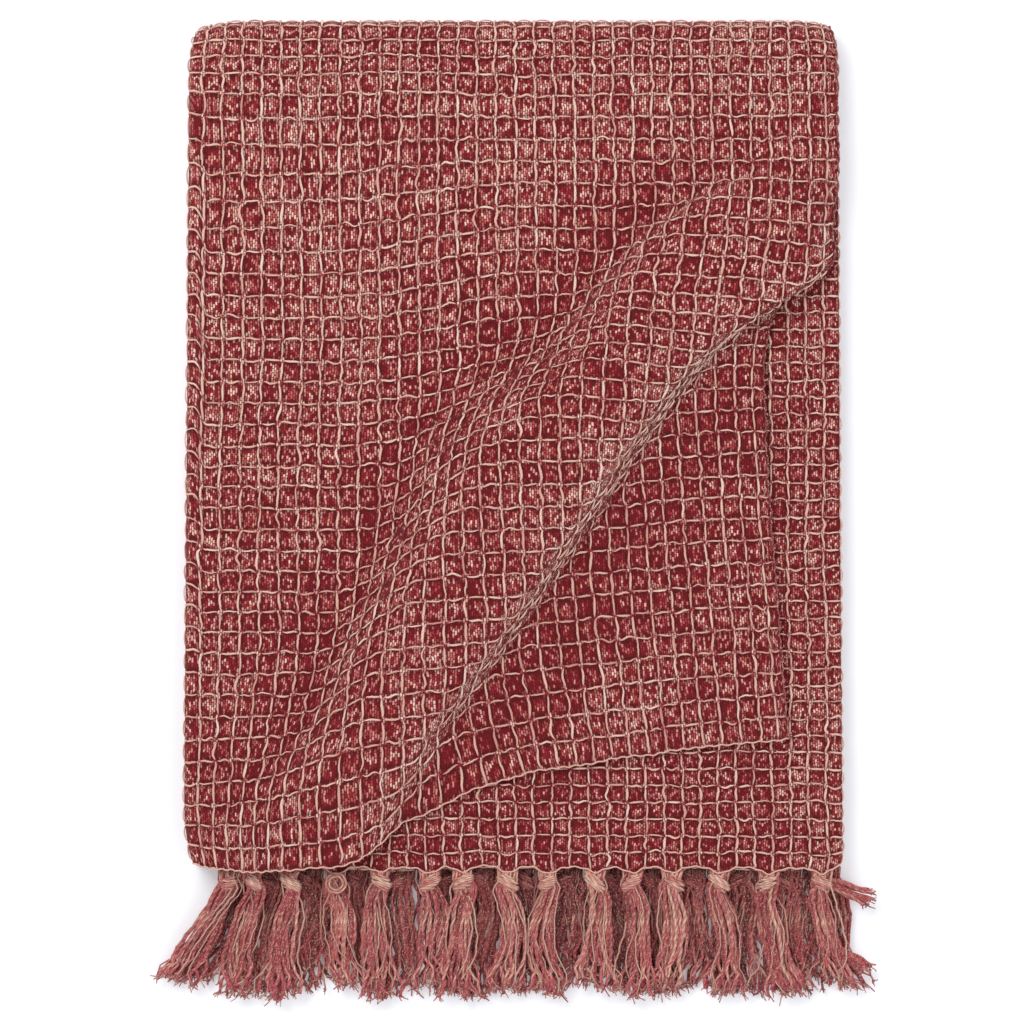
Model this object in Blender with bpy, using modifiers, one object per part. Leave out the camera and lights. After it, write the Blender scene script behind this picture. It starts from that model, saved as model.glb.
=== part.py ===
"""A waffle-weave cotton throw with a knotted fringe at both ends, folded and laid flat.

The woven panel is one sheet: both side thirds are folded over the middle, then the strip is
folded in half lengthwise, with the wide flap outside.  On top that flap is drawn up into one
loose diagonal roll.  Each end carries a comb of knotted tassels.
Metres, +Z up, +Y towards the lengthwise fold, origin on the floor under the middle.
"""

import bmesh
import bpy
import numpy as np
from mathutils import Matrix

# The panel
SHEET = 0.0024  # thickness of the waffle cloth
PLY_PITCH = 0.0050  # height from one ply of the folded stack to the next
LEFT_X, RIGHT_X = -0.2360, 0.2380  # outermost faces of the two side folds
FLAP_SELVEDGE_X = 0.2360  # free edge of the wide flap, before the roll draws it in
UNDER_SELVEDGE_X = -0.140  # free edge of the narrow flap, under the wide one
FAR_Y, HEM_Y = 0.361, -0.259  # outermost face of the lengthwise fold, and the two fringed ends
BASE, UNDER, FLAP = 0.7, 1.7, 2.7  # distance of each ply from the stack's middle, in pitches
MIDDLE_Z = FLAP * PLY_PITCH + 0.5 * SHEET  # height of that middle: the lowest ply is on the floor

# The diagonal roll, in a frame of its own: "along" runs from its right end to the near left,
# and "across" points away from it, to the near right
ROLL_START = np.array((0.242, 0.184))
ROLL_ALONG = np.array((-0.619, -0.785))
ROLL_ACROSS = np.array((0.785, -0.619))
# Its cross-section at places along it: the middle and the width of the steep rise at its foot,
# its height, the middle and the width of the steep drop at its lip, and how much cloth is drawn in
ROLL_SECTIONS = (
    # along, foot, foot width, height, lip, lip width, drawn in
    (-0.120, -0.070, 0.030, 0.001, -0.045, 0.020, 0.000),
    (-0.060, -0.075, 0.022, 0.003, -0.050, 0.016, 0.000),
    (-0.020, -0.088, 0.014, 0.010, -0.034, 0.012, 0.002),
    (0.010, -0.103, 0.012, 0.016, -0.012, 0.010, 0.012),
    (0.035, -0.115, 0.012, 0.019, -0.008, 0.010, 0.030),
    (0.060, -0.122, 0.012, 0.020, -0.014, 0.010, 0.055),
    (0.100, -0.127, 0.012, 0.021, -0.030, 0.010, 0.092),
    (0.140, -0.127, 0.013, 0.022, -0.038, 0.010, 0.102),
    (0.190, -0.125, 0.020, 0.022, -0.038, 0.011, 0.100),
    (0.240, -0.140, 0.032, 0.022, -0.036, 0.011, 0.097),
    (0.290, -0.146, 0.032, 0.022, -0.031, 0.011, 0.094),
    (0.340, -0.130, 0.024, 0.022, -0.027, 0.011, 0.091),
    (0.400, -0.118, 0.018, 0.021, -0.023, 0.011, 0.083),
    (0.450, -0.107, 0.014, 0.020, -0.021, 0.011, 0.071),
    (0.490, -0.094, 0.014, 0.019, -0.018, 0.012, 0.055),
    (0.520, -0.088, 0.016, 0.017, -0.010, 0.014, 0.040),
    (0.550, -0.090, 0.020, 0.013, -0.002, 0.018, 0.025),
    (0.580, -0.096, 0.026, 0.008, 0.002, 0.024, 0.012),
    (0.620, -0.105, 0.030, 0.004, 0.010, 0.030, 0.004),
    (0.660, -0.110, 0.030, 0.001, 0.012, 0.030, 0.000),
)
BLEND_STEPS = 9  # the run of 5 mm steps over which one section blends into the next
LEVEL_RUN = 0.020  # level cloth before the foot and after the lip
EASE = 0.005  # the stretch of it next to the roll, where the slope begins softly
SLOPE_RISE, TOP_RISE, SHOULDER_RISE = 0.40, 0.80, 0.97  # shares of the height: mid-slope to crown
GATHER_MARGIN = 0.006  # how far the drawn-in cloth is spread beyond the foot and the lip
FLAP_TURN = 0.07  # the near right of the flap is turned by this many radians
FLAP_SLIDE = -0.034  # and slides along the roll, towards its right end
SLIDE_START, SLIDE_END = -0.050, 0.600  # where along the roll that sliding starts and ends
SLIDE_RISE, SLIDE_FADE = 0.090, 0.120  # over what lengths it comes in and goes out again

# The outline of the stack: which corner, as signs of x and y, and its radius
CORNERS = (
    # x side, y side, radius
    (-1, 1, 0.045),
    (1, 1, 0.036),
    (-1, -1, 0.050),
    (1, -1, 0.015),
)
CORNER_PULL = 0.45  # share of a full quarter circle to which a corner is rounded
HEM_SPREAD = 0.017  # share by which the stack is wider at the hem than at the far fold
SWELL = 0.06  # share of its height by which the stack swells and sinks
SWELL_RATES, SWELL_PHASES = (11.0, 8.0), (2.0, 0.5)  # of its waves along x and y, in radians

# How the sheet is divided: length in the cloth, and cells of the flat grid
SIDE_ARC = np.pi * PLY_PITCH
ACROSS_SECTIONS = (
    # section, cells
    ("narrow flap", 8),
    ("right fold", 8),
    ("middle third", 10),
    ("left fold", 10),
    ("wide flap", 140),
)
ALONG_SECTIONS = (("lower half", 10), ("far fold", 14), ("upper half", 170))
PANEL_KEPT = 0.050  # share of the triangles that the panel keeps

# The fringe: one row for each tassel of the upper comb's front row, from left to right
TASSELS = (
    # knot x, lean of the tips, length
    (-0.205, -0.042, 0.076),
    (-0.189, -0.012, 0.084),
    (-0.162, -0.006, 0.088),
    (-0.128, 0.006, 0.082),
    (-0.096, -0.004, 0.088),
    (-0.060, 0.006, 0.084),
    (-0.036, -0.002, 0.090),
    (-0.003, 0.004, 0.084),
    (0.026, -0.004, 0.088),
    (0.061, 0.004, 0.080),
    (0.088, 0.004, 0.088),
    (0.117, -0.004, 0.082),
    (0.152, 0.004, 0.086),
    (0.187, 0.008, 0.088),
    (0.226, 0.018, 0.080),
)
COMBS = (
    # name, height of the spine, height of the tips, shift of the tassels along the spine
    ("fringe_upper", 0.0195, 0.0146, 0.0),
    ("fringe_lower", 0.0062, 0.0042, 0.009),
)
SPINE_X = (-0.220, 0.234)  # ends of the bar of loops that carries the tassels
SPINE_DEEP, SPINE_TALL = 0.007, 0.0090
KNOT_RADIUS = 0.0066
KNOT_DROP = 0.012  # from the hem to the middle of a knot
NECK, TIPS = 0.0050, 0.0160  # half widths of a tassel under its knot and at its tips
TASSEL_THICK = 0.0080
TASSEL_SIDES = 6
HEM_GAP = 0.0003  # from the hem to the spine


def smooth(t):
    """A soft step from 0 to 1."""
    t = np.clip(t, 0.0, 1.0)
    return t * t * (3.0 - 2.0 * t)


def soft_curve(corners, steps):
    """A smooth curve that rounds off every corner of an open outline, with so many steps each."""
    middles = 0.5 * (corners[1:] + corners[:-1])
    t = np.linspace(0.0, 1.0, steps, endpoint=False)[:, None]
    bends = [
        (1 - t) ** 2 * start + 2 * t * (1 - t) * corner + t**2 * end
        for start, corner, end in zip(middles, corners[1:-1], middles[1:])
    ]
    return np.concatenate([corners[:1]] + bends + [middles[-1:], corners[-1:]])


def roll_section(foot, foot_width, height, lip, lip_width):
    """Cross-section of the roll as (across, height): level, up its foot, over the crown, down."""
    top = foot + 0.5 * foot_width
    brink = lip - 0.5 * lip_width
    outline = (
        (foot - 0.5 * foot_width - LEVEL_RUN, 0.0),
        (foot - 0.5 * foot_width - EASE, 0.0),
        (foot - 0.5 * foot_width, 0.0),
        (foot, SLOPE_RISE * height),
        (top, TOP_RISE * height),
        (top + 0.25 * (brink - top), SHOULDER_RISE * height),
        (top + 0.55 * (brink - top), height),
        (top + 0.85 * (brink - top), SHOULDER_RISE * height),
        (brink, TOP_RISE * height),
        (lip, SLOPE_RISE * height),
        (lip + 0.5 * lip_width, 0.0),
        (lip + 0.5 * lip_width + EASE, 0.0),
        (lip + 0.5 * lip_width + LEVEL_RUN, 0.0),
    )
    return soft_curve(np.array(outline), 8)


def gathered(across, middle, width):
    """Share of the drawn-in cloth taken up so far in one steep band: 0 before it, 1 after it."""
    return smooth((across - middle) / (width + 2 * GATHER_MARGIN) + 0.5)


def blended(values):
    """Takes the corners out of a row of values by a running mean, with its ends held."""
    window = np.hanning(BLEND_STEPS + 2)[1:-1]
    half = BLEND_STEPS // 2
    return np.convolve(np.pad(values, half, mode="edge"), window / window.sum(), mode="valid")


def roll_table():
    """Shift across, height and fold share of the cloth, at even steps along and across it."""
    columns = np.array(ROLL_SECTIONS).T
    along = np.arange(columns[0, 0], columns[0, -1], 0.005)
    across = np.arange(-0.220, 0.150, 0.001)
    even = [blended(np.interp(along, columns[0], column)) for column in columns[1:]]
    table = np.empty((3, len(along), len(across)))
    for row, (foot, foot_width, height, lip, lip_width, drawn_in) in enumerate(zip(*even)):
        section = roll_section(foot, foot_width, height, lip, lip_width)
        steps = np.hypot(*np.diff(section, axis=0).T)
        cloth = section[0, 0] + np.concatenate(((0.0,), np.cumsum(steps)))
        spare = max(drawn_in - (cloth[-1] - section[-1, 0]), 0.0)
        share = 0.5 * gathered(section[:, 0], foot, foot_width)
        share += 0.5 * gathered(section[:, 0], lip, lip_width)
        cloth = cloth + spare * share
        table[0, row] = np.interp(across, cloth, section[:, 0] - cloth)
        table[1, row] = np.interp(across, cloth, section[:, 1])
        table[2, row] = np.interp(across, cloth, share)
    return along, across, table


def drawn_up(x, y):
    """Where the points (x, y) of the wide flap lie once it is drawn up: x, y and added height."""
    along, across, table = roll_table()
    place = np.stack((x, y), axis=-1) - ROLL_START
    r, q = place @ ROLL_ALONG, place @ ROLL_ACROSS
    row = np.clip((r - along[0]) / (along[1] - along[0]), 0, len(along) - 1.001)
    column = np.clip((q - across[0]) / (across[1] - across[0]), 0, len(across) - 1.001)
    i, j = row.astype(int), column.astype(int)
    a, b = row - i, column - j
    near = table[:, i, j] * (1 - b) + table[:, i, j + 1] * b
    far = table[:, i + 1, j] * (1 - b) + table[:, i + 1, j + 1] * b
    shift, height, share = near * (1 - a) + far * a
    share = share * smooth((r - SLIDE_START) / SLIDE_RISE) * smooth((SLIDE_END - r) / SLIDE_FADE)
    r = r + share * (FLAP_SLIDE - FLAP_TURN * q)
    spot = ROLL_START + r[..., None] * ROLL_ALONG + (q + shift)[..., None] * ROLL_ACROSS
    return spot[..., 0], spot[..., 1], height


def laid_out(x, y, z):
    """Takes the stack from its square form to its softer one: round corners, a wider hem, swells."""
    middle = np.array((0.5 * (LEFT_X + RIGHT_X), 0.5 * (HEM_Y + FAR_Y)))
    half = np.array((0.5 * (RIGHT_X - LEFT_X), 0.5 * (FAR_Y - HEM_Y)))
    for side_x, side_y, radius in CORNERS:
        a = np.clip(((x - middle[0]) * side_x - half[0] + radius) / radius, 0.0, 1.0)
        b = np.clip(((y - middle[1]) * side_y - half[1] + radius) / radius, 0.0, 1.0)
        x = x + side_x * CORNER_PULL * radius * a * (np.sqrt(1.0 - 0.5 * b**2) - 1.0)
        y = y + side_y * CORNER_PULL * radius * b * (np.sqrt(1.0 - 0.5 * a**2) - 1.0)
    x = x * (1.0 + HEM_SPREAD * (FAR_Y - y) / (FAR_Y - HEM_Y))
    waves = np.sin(SWELL_RATES[0] * x + SWELL_PHASES[0])
    waves = waves * np.sin(SWELL_RATES[1] * y + SWELL_PHASES[1])
    z = z + SWELL * (z - 0.5 * SHEET) * waves
    return x, y, z


def even_steps(sections, lengths):
    """Distance along the cloth of each grid line, with so many even cells in each section."""
    starts = np.concatenate(((0.0,), np.cumsum(lengths)))
    lines = [
        np.linspace(start, start + length, cells, endpoint=False)
        for start, length, (_, cells) in zip(starts, lengths, sections)
    ]
    return np.concatenate(lines + [starts[-1:]])


def folded_across(u, lengths):
    """The widthwise fold: x, and distance from the middle height in pitches, for cloth width u."""
    narrow, right_arc, middle, left_arc, _ = lengths
    right = RIGHT_X - 0.5 * (SHEET + PLY_PITCH)
    left = LEFT_X + 0.5 * SHEET + PLY_PITCH
    turn_right = np.clip((u - narrow) / right_arc, 0.0, 1.0) * np.pi
    turn_left = np.clip((u - narrow - right_arc - middle) / left_arc, 0.0, 1.0) * np.pi
    x = UNDER_SELVEDGE_X + np.clip(u, 0.0, narrow)
    x = x + 0.5 * PLY_PITCH * np.sin(turn_right) - np.clip(u - narrow - right_arc, 0.0, middle)
    x = x - PLY_PITCH * np.sin(turn_left)
    x = x + np.clip(u - narrow - right_arc - middle - left_arc, 0.0, None)
    ply = UNDER + (BASE - UNDER) * 0.5 * (1.0 - np.cos(turn_right))
    ply = ply + (FLAP - BASE) * 0.5 * (1.0 - np.cos(turn_left))
    assert abs(right - UNDER_SELVEDGE_X - narrow) < 1e-9 and abs(right - left - middle) < 1e-9
    return x, ply


def folded_panel():
    """The panel's middle surface as an open grid, moved into its folds."""
    right = RIGHT_X - 0.5 * (SHEET + PLY_PITCH)
    left = LEFT_X + 0.5 * SHEET + PLY_PITCH
    far = FAR_Y - 0.5 * SHEET - FLAP * PLY_PITCH
    widths = (
        right - UNDER_SELVEDGE_X,
        0.5 * SIDE_ARC,
        right - left,
        SIDE_ARC,
        FLAP_SELVEDGE_X - left,
    )
    lengths = (far - HEM_Y, np.pi * FLAP * PLY_PITCH, far - HEM_Y)
    u_lines = even_steps(ACROSS_SECTIONS, widths)
    v_lines = even_steps(ALONG_SECTIONS, lengths)
    bpy.ops.mesh.primitive_grid_add(
        x_subdivisions=len(u_lines) - 1, y_subdivisions=len(v_lines) - 1, size=1.0
    )
    panel = bpy.context.object
    u, v = (grid.ravel() for grid in np.meshgrid(u_lines, v_lines))
    x, ply = folded_across(u, widths)
    turn = np.clip((v - lengths[0]) / lengths[1], 0.0, 1.0) * np.pi
    run = np.minimum(v, lengths[0]) - np.clip(v - lengths[0] - lengths[1], 0.0, None)
    y = HEM_Y + run + ply * PLY_PITCH * np.sin(turn)
    z = MIDDLE_Z - ply * PLY_PITCH * np.cos(turn)
    on_top = (ply > FLAP - 1e-6) & (turn > np.pi - 1e-6)
    x[on_top], y[on_top], lift = drawn_up(x[on_top], y[on_top])
    z[on_top] += lift
    x, y, z = laid_out(x, y, z)
    panel.data.vertices.foreach_set("co", np.stack((x, y, z), axis=-1).astype(np.float32).ravel())
    panel.data.update()
    return panel


def tassel(knot_x, lean, length, knot_z, tip_z):
    """A knot and the tapered bundle of strands below it, as one loose mesh."""
    mesh = bmesh.new()
    knot_y = HEM_Y - KNOT_DROP
    knot = bmesh.ops.create_uvsphere(mesh, u_segments=6, v_segments=4, radius=KNOT_RADIUS)
    bmesh.ops.scale(mesh, vec=(1.1, 1.0, 0.9), verts=knot["verts"])
    bmesh.ops.translate(mesh, vec=(knot_x, knot_y, knot_z), verts=knot["verts"])
    bundle = bmesh.ops.create_cone(
        mesh,
        cap_ends=True,
        segments=TASSEL_SIDES,
        radius1=NECK,
        radius2=TIPS,
        depth=length,
        matrix=Matrix.Rotation(0.5 * np.pi, 4, "X"),
    )["verts"]
    for vertex in bundle:
        share = 0.5 - vertex.co.y / length
        flat = 0.5 * TASSEL_THICK / (NECK + share * (TIPS - NECK))
        vertex.co.x += knot_x + share * lean
        vertex.co.y = knot_y - share * length
        vertex.co.z = knot_z + share * (tip_z - knot_z) + vertex.co.z * flat
    return mesh


def comb(name, spine_z, tip_z, shift, cutters):
    """The fringe along one folded end: a bar of loops with all its tassels, as one solid."""
    bpy.ops.mesh.primitive_cube_add(size=1.0)
    bar = bpy.context.object
    deep = HEM_Y - HEM_GAP - 0.5 * SPINE_DEEP
    size = Matrix.Diagonal((SPINE_X[1] - SPINE_X[0], SPINE_DEEP, SPINE_TALL, 1.0))
    bar.data.transform(Matrix.Translation((0.5 * sum(SPINE_X), deep, spine_z)) @ size)
    tassels = bmesh.new()
    for knot_x, lean, length in TASSELS:
        one = tassel(min(knot_x + shift, SPINE_X[1] - 0.006), lean, length, spine_z, tip_z)
        mesh = bpy.data.meshes.new(name)
        one.to_mesh(mesh)
        tassels.from_mesh(mesh)
        bpy.data.meshes.remove(mesh)
        one.free()
    bmesh.ops.recalc_face_normals(tassels, faces=tassels.faces)
    mesh = bpy.data.meshes.new(name + "_tassels")
    tassels.to_mesh(mesh)
    tassels.free()
    teeth = bpy.data.objects.new(name + "_tassels", mesh)
    teeth.hide_render = True
    teeth.display_type = "WIRE"
    cutters.objects.link(teeth)
    joined = bar.modifiers.new("tassels", "BOOLEAN")
    joined.operation = "UNION"
    joined.object = teeth
    joined.use_self = True
    return bar


def material(name, colour, roughness):
    """A plain matt cloth material."""
    made = bpy.data.materials.new(name)
    made.use_nodes = True
    shader = made.node_tree.nodes["Principled BSDF"]
    shader.inputs["Base Color"].default_value = (*colour, 1.0)
    shader.inputs["Roughness"].default_value = roughness
    shader.inputs["Metallic"].default_value = 0.0
    return made


def finish(piece, name, its_material, collection):
    """Names the piece, gives it its material and moves it into the throw's collection."""
    piece.name = name
    piece.data.name = name
    piece.data.materials.clear()
    piece.data.materials.append(its_material)
    for old in piece.users_collection:
        old.objects.unlink(piece)
    collection.objects.link(piece)
    return piece


def main():
    for old in list(bpy.data.objects):
        bpy.data.objects.remove(old, do_unlink=True)
    throw = bpy.data.collections.new("cotton_throw")
    bpy.context.scene.collection.children.link(throw)
    cutters = bpy.data.collections.new("cutters")
    bpy.context.scene.collection.children.link(cutters)
    cloth = material("red_waffle_cotton", (0.30, 0.045, 0.05), 0.95)
    yarn = material("pink_fringe_yarn", (0.42, 0.13, 0.13), 0.95)

    panel = finish(folded_panel(), "throw_panel", cloth, throw)
    fewer = panel.modifiers.new("fewer_faces", "DECIMATE")
    fewer.ratio = PANEL_KEPT
    thick = panel.modifiers.new("sheet", "SOLIDIFY")
    thick.thickness = SHEET
    thick.offset = 0.0
    thick.use_even_offset = True

    for name, spine_z, tip_z, shift in COMBS:
        finish(comb(name, spine_z, tip_z, shift, cutters), name, yarn, throw)


main()
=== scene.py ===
import bpy
import numpy as np
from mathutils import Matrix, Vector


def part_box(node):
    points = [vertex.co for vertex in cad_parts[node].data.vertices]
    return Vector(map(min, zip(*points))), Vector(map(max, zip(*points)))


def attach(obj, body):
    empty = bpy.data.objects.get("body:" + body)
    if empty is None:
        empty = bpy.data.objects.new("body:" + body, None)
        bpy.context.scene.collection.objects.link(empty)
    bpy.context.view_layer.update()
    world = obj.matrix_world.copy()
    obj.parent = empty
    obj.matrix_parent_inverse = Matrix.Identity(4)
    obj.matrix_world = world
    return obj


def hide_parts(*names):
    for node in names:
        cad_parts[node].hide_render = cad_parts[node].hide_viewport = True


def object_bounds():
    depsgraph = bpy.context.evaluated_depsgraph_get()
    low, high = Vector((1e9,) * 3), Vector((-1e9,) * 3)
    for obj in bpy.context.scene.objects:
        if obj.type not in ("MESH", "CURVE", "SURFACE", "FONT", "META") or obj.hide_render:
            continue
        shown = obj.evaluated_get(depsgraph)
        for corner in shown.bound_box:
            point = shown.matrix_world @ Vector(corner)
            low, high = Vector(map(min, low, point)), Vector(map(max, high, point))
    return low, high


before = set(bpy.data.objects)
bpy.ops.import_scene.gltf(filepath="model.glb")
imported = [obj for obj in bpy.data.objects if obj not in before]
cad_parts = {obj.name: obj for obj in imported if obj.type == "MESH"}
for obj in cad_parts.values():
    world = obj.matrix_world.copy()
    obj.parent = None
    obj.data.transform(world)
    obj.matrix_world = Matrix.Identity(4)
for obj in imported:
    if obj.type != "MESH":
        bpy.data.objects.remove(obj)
cadLow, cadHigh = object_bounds()
panelLow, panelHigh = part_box("throw_panel")
print("frame loaded")

# u and v are metres in the flat cloth: u runs from the narrow flap's free edge across to the wide
# flap's, and v from the lower hem over the far fold to the upper hem
fold = {
    "sheet": 0.0024,
    "pitch": 0.0050,  # height from one ply to the next
    "middlePly": 0.7,  # distance of each ply from the stack's middle, in pitches
    "narrowPly": 1.7,
    "widePly": 2.7,
    "left": -0.2360,  # outermost faces of the two side folds
    "right": 0.2380,
    "narrowEdge": -0.140,  # free edge of the narrow flap
    "wideEdge": 0.2360,  # free edge of the wide flap, before the roll draws it in
    "far": panelHigh.y,
    "hem": panelLow.y,
    "floor": panelLow.z,
    "hemSpread": 0.017,  # share by which the stack is wider at the hem than at the far fold
    "swell": 0.06,  # share of its height by which it swells and sinks
    "swellRates": (11, 8),  # of those waves, in radians a metre along x and along y
    "swellPhases": (2, 0.5),  # and where they start
    "cornerPull": 0.45,  # how strongly the corners are rounded
    "corners": ((-1, 1, 0.045), (1, 1, 0.036), (-1, -1, 0.050), (1, -1, 0.015)),  # side x, y, size
}
# The diagonal roll: its start, the directions along and across it, and its section at places along
# it: the steep rise at its foot, its height, the steep drop at its lip, and the cloth drawn in
roll = {
    "start": np.array((0.242, 0.184)),
    "along": np.array((-0.619, -0.785)),
    "across": np.array((0.785, -0.619)),
    "sections": (
        # along, foot, foot width, height, lip, lip width, drawn in
        (-0.120, -0.070, 0.030, 0.001, -0.045, 0.020, 0.000),
        (-0.060, -0.075, 0.022, 0.003, -0.050, 0.016, 0.000),
        (-0.020, -0.088, 0.014, 0.010, -0.034, 0.012, 0.002),
        (0.010, -0.103, 0.012, 0.016, -0.012, 0.010, 0.012),
        (0.035, -0.115, 0.012, 0.019, -0.008, 0.010, 0.030),
        (0.060, -0.122, 0.012, 0.020, -0.014, 0.010, 0.055),
        (0.100, -0.127, 0.012, 0.021, -0.030, 0.010, 0.092),
        (0.140, -0.127, 0.013, 0.022, -0.038, 0.010, 0.102),
        (0.190, -0.125, 0.020, 0.022, -0.038, 0.011, 0.100),
        (0.240, -0.140, 0.032, 0.022, -0.036, 0.011, 0.097),
        (0.290, -0.146, 0.032, 0.022, -0.031, 0.011, 0.094),
        (0.340, -0.130, 0.024, 0.022, -0.027, 0.011, 0.091),
        (0.400, -0.118, 0.018, 0.021, -0.023, 0.011, 0.083),
        (0.450, -0.107, 0.014, 0.020, -0.021, 0.011, 0.071),
        (0.490, -0.094, 0.014, 0.019, -0.018, 0.012, 0.055),
        (0.520, -0.088, 0.016, 0.017, -0.010, 0.014, 0.040),
        (0.550, -0.090, 0.020, 0.013, -0.002, 0.018, 0.025),
        (0.580, -0.096, 0.026, 0.008, 0.002, 0.024, 0.012),
        (0.620, -0.105, 0.030, 0.004, 0.010, 0.030, 0.004),
        (0.660, -0.110, 0.030, 0.001, 0.012, 0.030, 0.000),
    ),
    "alongStep": 0.005,  # steps of the table that the roll is looked up in
    "acrossStep": 0.0005,
    "acrossReach": (-0.220, 0.150),
    "blend": 9,  # so many steps along it are averaged
    "levelRun": 0.020,  # level cloth before the foot and after the lip
    "ease": 0.005,  # the last part of it, where the slope begins softly
    "rises": (0.40, 0.80, 0.97),  # shares of the height halfway up, at the top and on the crown
    "footBand": (0.10, 0.034),  # share drawn in tightly, and how much wider the rest spreads
    "lipBand": (0.65, 0.006),
    "tight": 0.8,  # the tight share lies within this part of a steep band's width
    "footDrawn": 0.045,  # at most this much of it lies at the foot, the rest at the lip
    "footRise": 0.28,  # run over which that grows from the roll's start
    "footEnd": 0.62,  # where it ends, and the run over which it fades
    "footFade": 0.26,
    "turn": 0.07,  # radians by which the near right of the flap is turned
    "slide": -0.034,  # how far it slides along the roll
    "slideStart": -0.026,  # places along the roll where the slide begins and ends
    "slideEnd": 0.600,
    "slideRise": 0.090,  # and how softly
    "slideFade": 0.120,
    "pleat": 0.0030,  # width of the small pleats that take up the drawn-in cloth
    "pleatTall": 0.0009,
    "pleatFull": 0.040,  # drawn-in cloth from which the pleats have their full height
    "pleatDrift": ((2.5, 31.0, 1.0), (1.5, 83.0, 0.0)),  # size, rate along the roll, start
}
middleZ = fold["floor"] + fold["widePly"] * fold["pitch"] + 0.5 * fold["sheet"]
rightInner = fold["right"] - 0.5 * (fold["sheet"] + fold["pitch"])
leftInner = fold["left"] + 0.5 * fold["sheet"] + fold["pitch"]
farInner = fold["far"] - 0.5 * fold["sheet"] - fold["widePly"] * fold["pitch"]
# Widths of narrow flap, right fold, middle third, left fold and wide flap, then the lengths of the
# lower half, far fold and upper half
widths = np.array(
    (
        rightInner - fold["narrowEdge"],
        0.5 * np.pi * fold["pitch"],
        rightInner - leftInner,
        np.pi * fold["pitch"],
        fold["wideEdge"] - leftInner,
    )
)
lengths = np.array(
    (farInner - fold["hem"], np.pi * fold["widePly"] * fold["pitch"], farInner - fold["hem"])
)
uStarts = np.concatenate(((0.0,), np.cumsum(widths)))
vStarts = np.concatenate(((0.0,), np.cumsum(lengths)))
flatWidth, flatLength = uStarts[-1], vStarts[-1]


def softStep(t):
    # 0 below 0, 1 above 1, and a smooth S between them
    t = np.clip(t, 0.0, 1.0)
    return t * t * (3.0 - 2.0 * t)


def softCurve(corners, steps):
    # rounds every corner of an open outline with a parabola between the middles of its sides
    middles = 0.5 * (corners[1:] + corners[:-1])
    t = np.linspace(0.0, 1.0, steps, endpoint=False)
    t = t.reshape((-1,) + (1,) * (corners.ndim - 1))
    bends = [
        (1 - t) ** 2 * start + 2 * t * (1 - t) * corner + t**2 * end
        for start, corner, end in zip(middles, corners[1:-1], middles[1:])
    ]
    return np.concatenate([corners[:1]] + bends + [middles[-1:], corners[-1:]])


def rollSection(foot, footWidth, height, lip, lipWidth):
    # cross-section of the roll: level, steeply up its foot, over the crown, steeply down its lip
    top, brink = foot + 0.5 * footWidth, lip - 0.5 * lipWidth
    start, end, ease = foot - 0.5 * footWidth, lip + 0.5 * lipWidth, roll["ease"]
    halfUp, steepTop, crown = (rise * height for rise in roll["rises"])
    outline = (
        (start - roll["levelRun"], 0.0),
        (start - ease, 0.0),
        (start, 0.0),
        (foot, halfUp),
        (top, steepTop),
        (top + 0.25 * (brink - top), crown),
        (top + 0.55 * (brink - top), height),
        (top + 0.85 * (brink - top), crown),
        (brink, steepTop),
        (lip, halfUp),
        (end, 0.0),
        (end + ease, 0.0),
        (end + roll["levelRun"], 0.0),
    )
    return softCurve(np.array(outline), 24)


def gathered(across, middle, width, band):
    # share of the drawn-in cloth taken up so far in one steep band: 0 before it, 1 after it
    tightShare, looser = roll[band]
    tight = softStep((across - middle) / (roll["tight"] * width) + 0.5)
    loose = softStep((across - middle) / (width + looser) + 0.5)
    return tightShare * tight + (1.0 - tightShare) * loose


def rollTable():
    # shift across, height and share of the slide at even steps along and across the roll; cloth
    # length = length of the section + the drawn-in rest, part of it at the foot and the rest at
    # the lip, in small pleats: height + band * pleatTall * (1 + sin(2 pi place / pleat + drift)) / 2
    columns = np.array(roll["sections"]).T
    along = np.arange(columns[0, 0], columns[0, -1], roll["alongStep"])
    across = np.arange(*roll["acrossReach"], roll["acrossStep"])
    window = np.hanning(roll["blend"] + 2)[1:-1]
    window /= window.sum()
    half = roll["blend"] // 2
    smoothed = [
        np.convolve(np.pad(np.interp(along, columns[0], c), half, mode="edge"), window, "valid")
        for c in columns[1:]
    ]
    table = np.empty((3, len(along), len(across)))
    for row, (foot, footWidth, height, lip, lipWidth, drawnIn) in enumerate(zip(*smoothed)):
        section = rollSection(foot, footWidth, height, lip, lipWidth)
        steps = np.hypot(*np.diff(section, axis=0).T)
        cloth = section[0, 0] + np.concatenate(((0.0,), np.cumsum(steps)))
        spare = max(drawnIn - (cloth[-1] - section[-1, 0]), 0.0)
        atFoot = gathered(section[:, 0], foot, footWidth, "footBand")
        atLip = gathered(section[:, 0], lip, lipWidth, "lipBand")
        comes = softStep(along[row] / roll["footRise"])
        goes = softStep((roll["footEnd"] - along[row]) / roll["footFade"])
        footPart = min(roll["footDrawn"] * (comes * goes), 0.5 * spare)
        share = footPart * atFoot + (spare - footPart) * atLip
        cloth = cloth + share
        band = 4.0 * (atFoot * (1.0 - atFoot) + atLip * (1.0 - atLip)) * min(spare / roll["pleatFull"], 1.0)
        drift = sum(s * np.sin(rate * along[row] + begin) for s, rate, begin in roll["pleatDrift"])
        wave = 0.5 + 0.5 * np.sin(2 * np.pi * (section[:, 0] - lip) / roll["pleat"] + drift)
        tall = section[:, 1] + roll["pleatTall"] * band * wave
        table[0, row] = np.interp(across, cloth, section[:, 0] - cloth)
        table[1, row] = np.interp(across, cloth, tall)
        table[2, row] = np.interp(across, cloth, share / max(spare, 1e-6))
    return along, across, table


rollAlong, rollAcross, rollValues = rollTable()


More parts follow.
